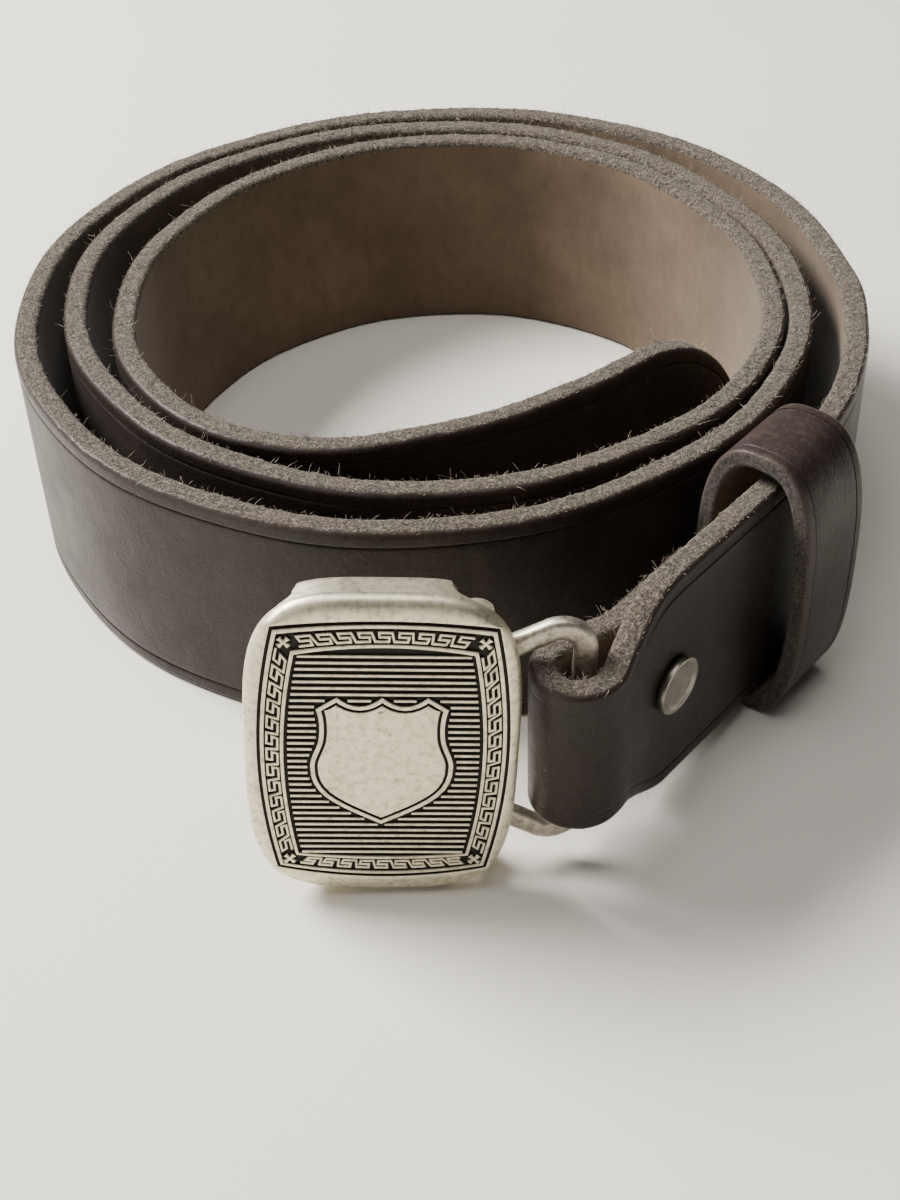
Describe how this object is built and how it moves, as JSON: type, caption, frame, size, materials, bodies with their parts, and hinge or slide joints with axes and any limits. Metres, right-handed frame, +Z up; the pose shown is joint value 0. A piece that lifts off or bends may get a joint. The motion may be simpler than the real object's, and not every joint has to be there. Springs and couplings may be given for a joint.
{
  "type": "leather belt",
  "caption": "Leather trouser belt rolled into a coil, with a loose keeper and a hook-stud plate buckle hinged to a ring in its folded end.",
  "frame": {"origin": "middle of the footprint, on the floor the strap's lower edge stands on", "axes": "+Z up across the strap's width, -Y towards the side that the buckle's face looks to, +X to that viewer's right"},
  "size_m": [0.1396, 0.167, 0.0515],
  "materials": {
    "strap_leather": "waxed grain with raw suede inside and light raw edges",
    "keeper_leather": "smooth grain",
    "antique_silver": "cast, silver plated, worn, dark in its recesses",
    "pewter": "satin, dulled",
    "steel": "drawn wire"
  },
  "bodies": {
    "belt": {"strap": "strap_leather", "screw_post": "pewter", "screw": "pewter"},
    "keeper": {"keeper": "keeper_leather", "keeper_staple": "steel"},
    "ring": {"buckle_ring": "antique_silver"},
    "buckle": {"buckle_plate": "antique_silver", "hinge_pin": "steel", "hook_stud": "antique_silver"}
  },
  "joints": [
    {"name": "ring_swing", "type": "hinge", "parent": "belt", "child": "ring", "pos_m": [0.01675, -0.07543, 0.02269], "axis": [0.0592, 0.0523, 0.9969], "range_deg": [-8, 100]},
    {"name": "buckle_swing", "type": "hinge", "parent": "ring", "child": "buckle", "pos_m": [0.00237, -0.07543, 0.02354], "axis": [0.0592, 0.0523, 0.9969], "range_deg": [-40, 14]},
    {"name": "keeper_slide", "type": "slide", "parent": "belt", "child": "keeper", "axis": [0.6534, 0.757, 0], "range_m": [-0.02, 0.006]}
  ]
}
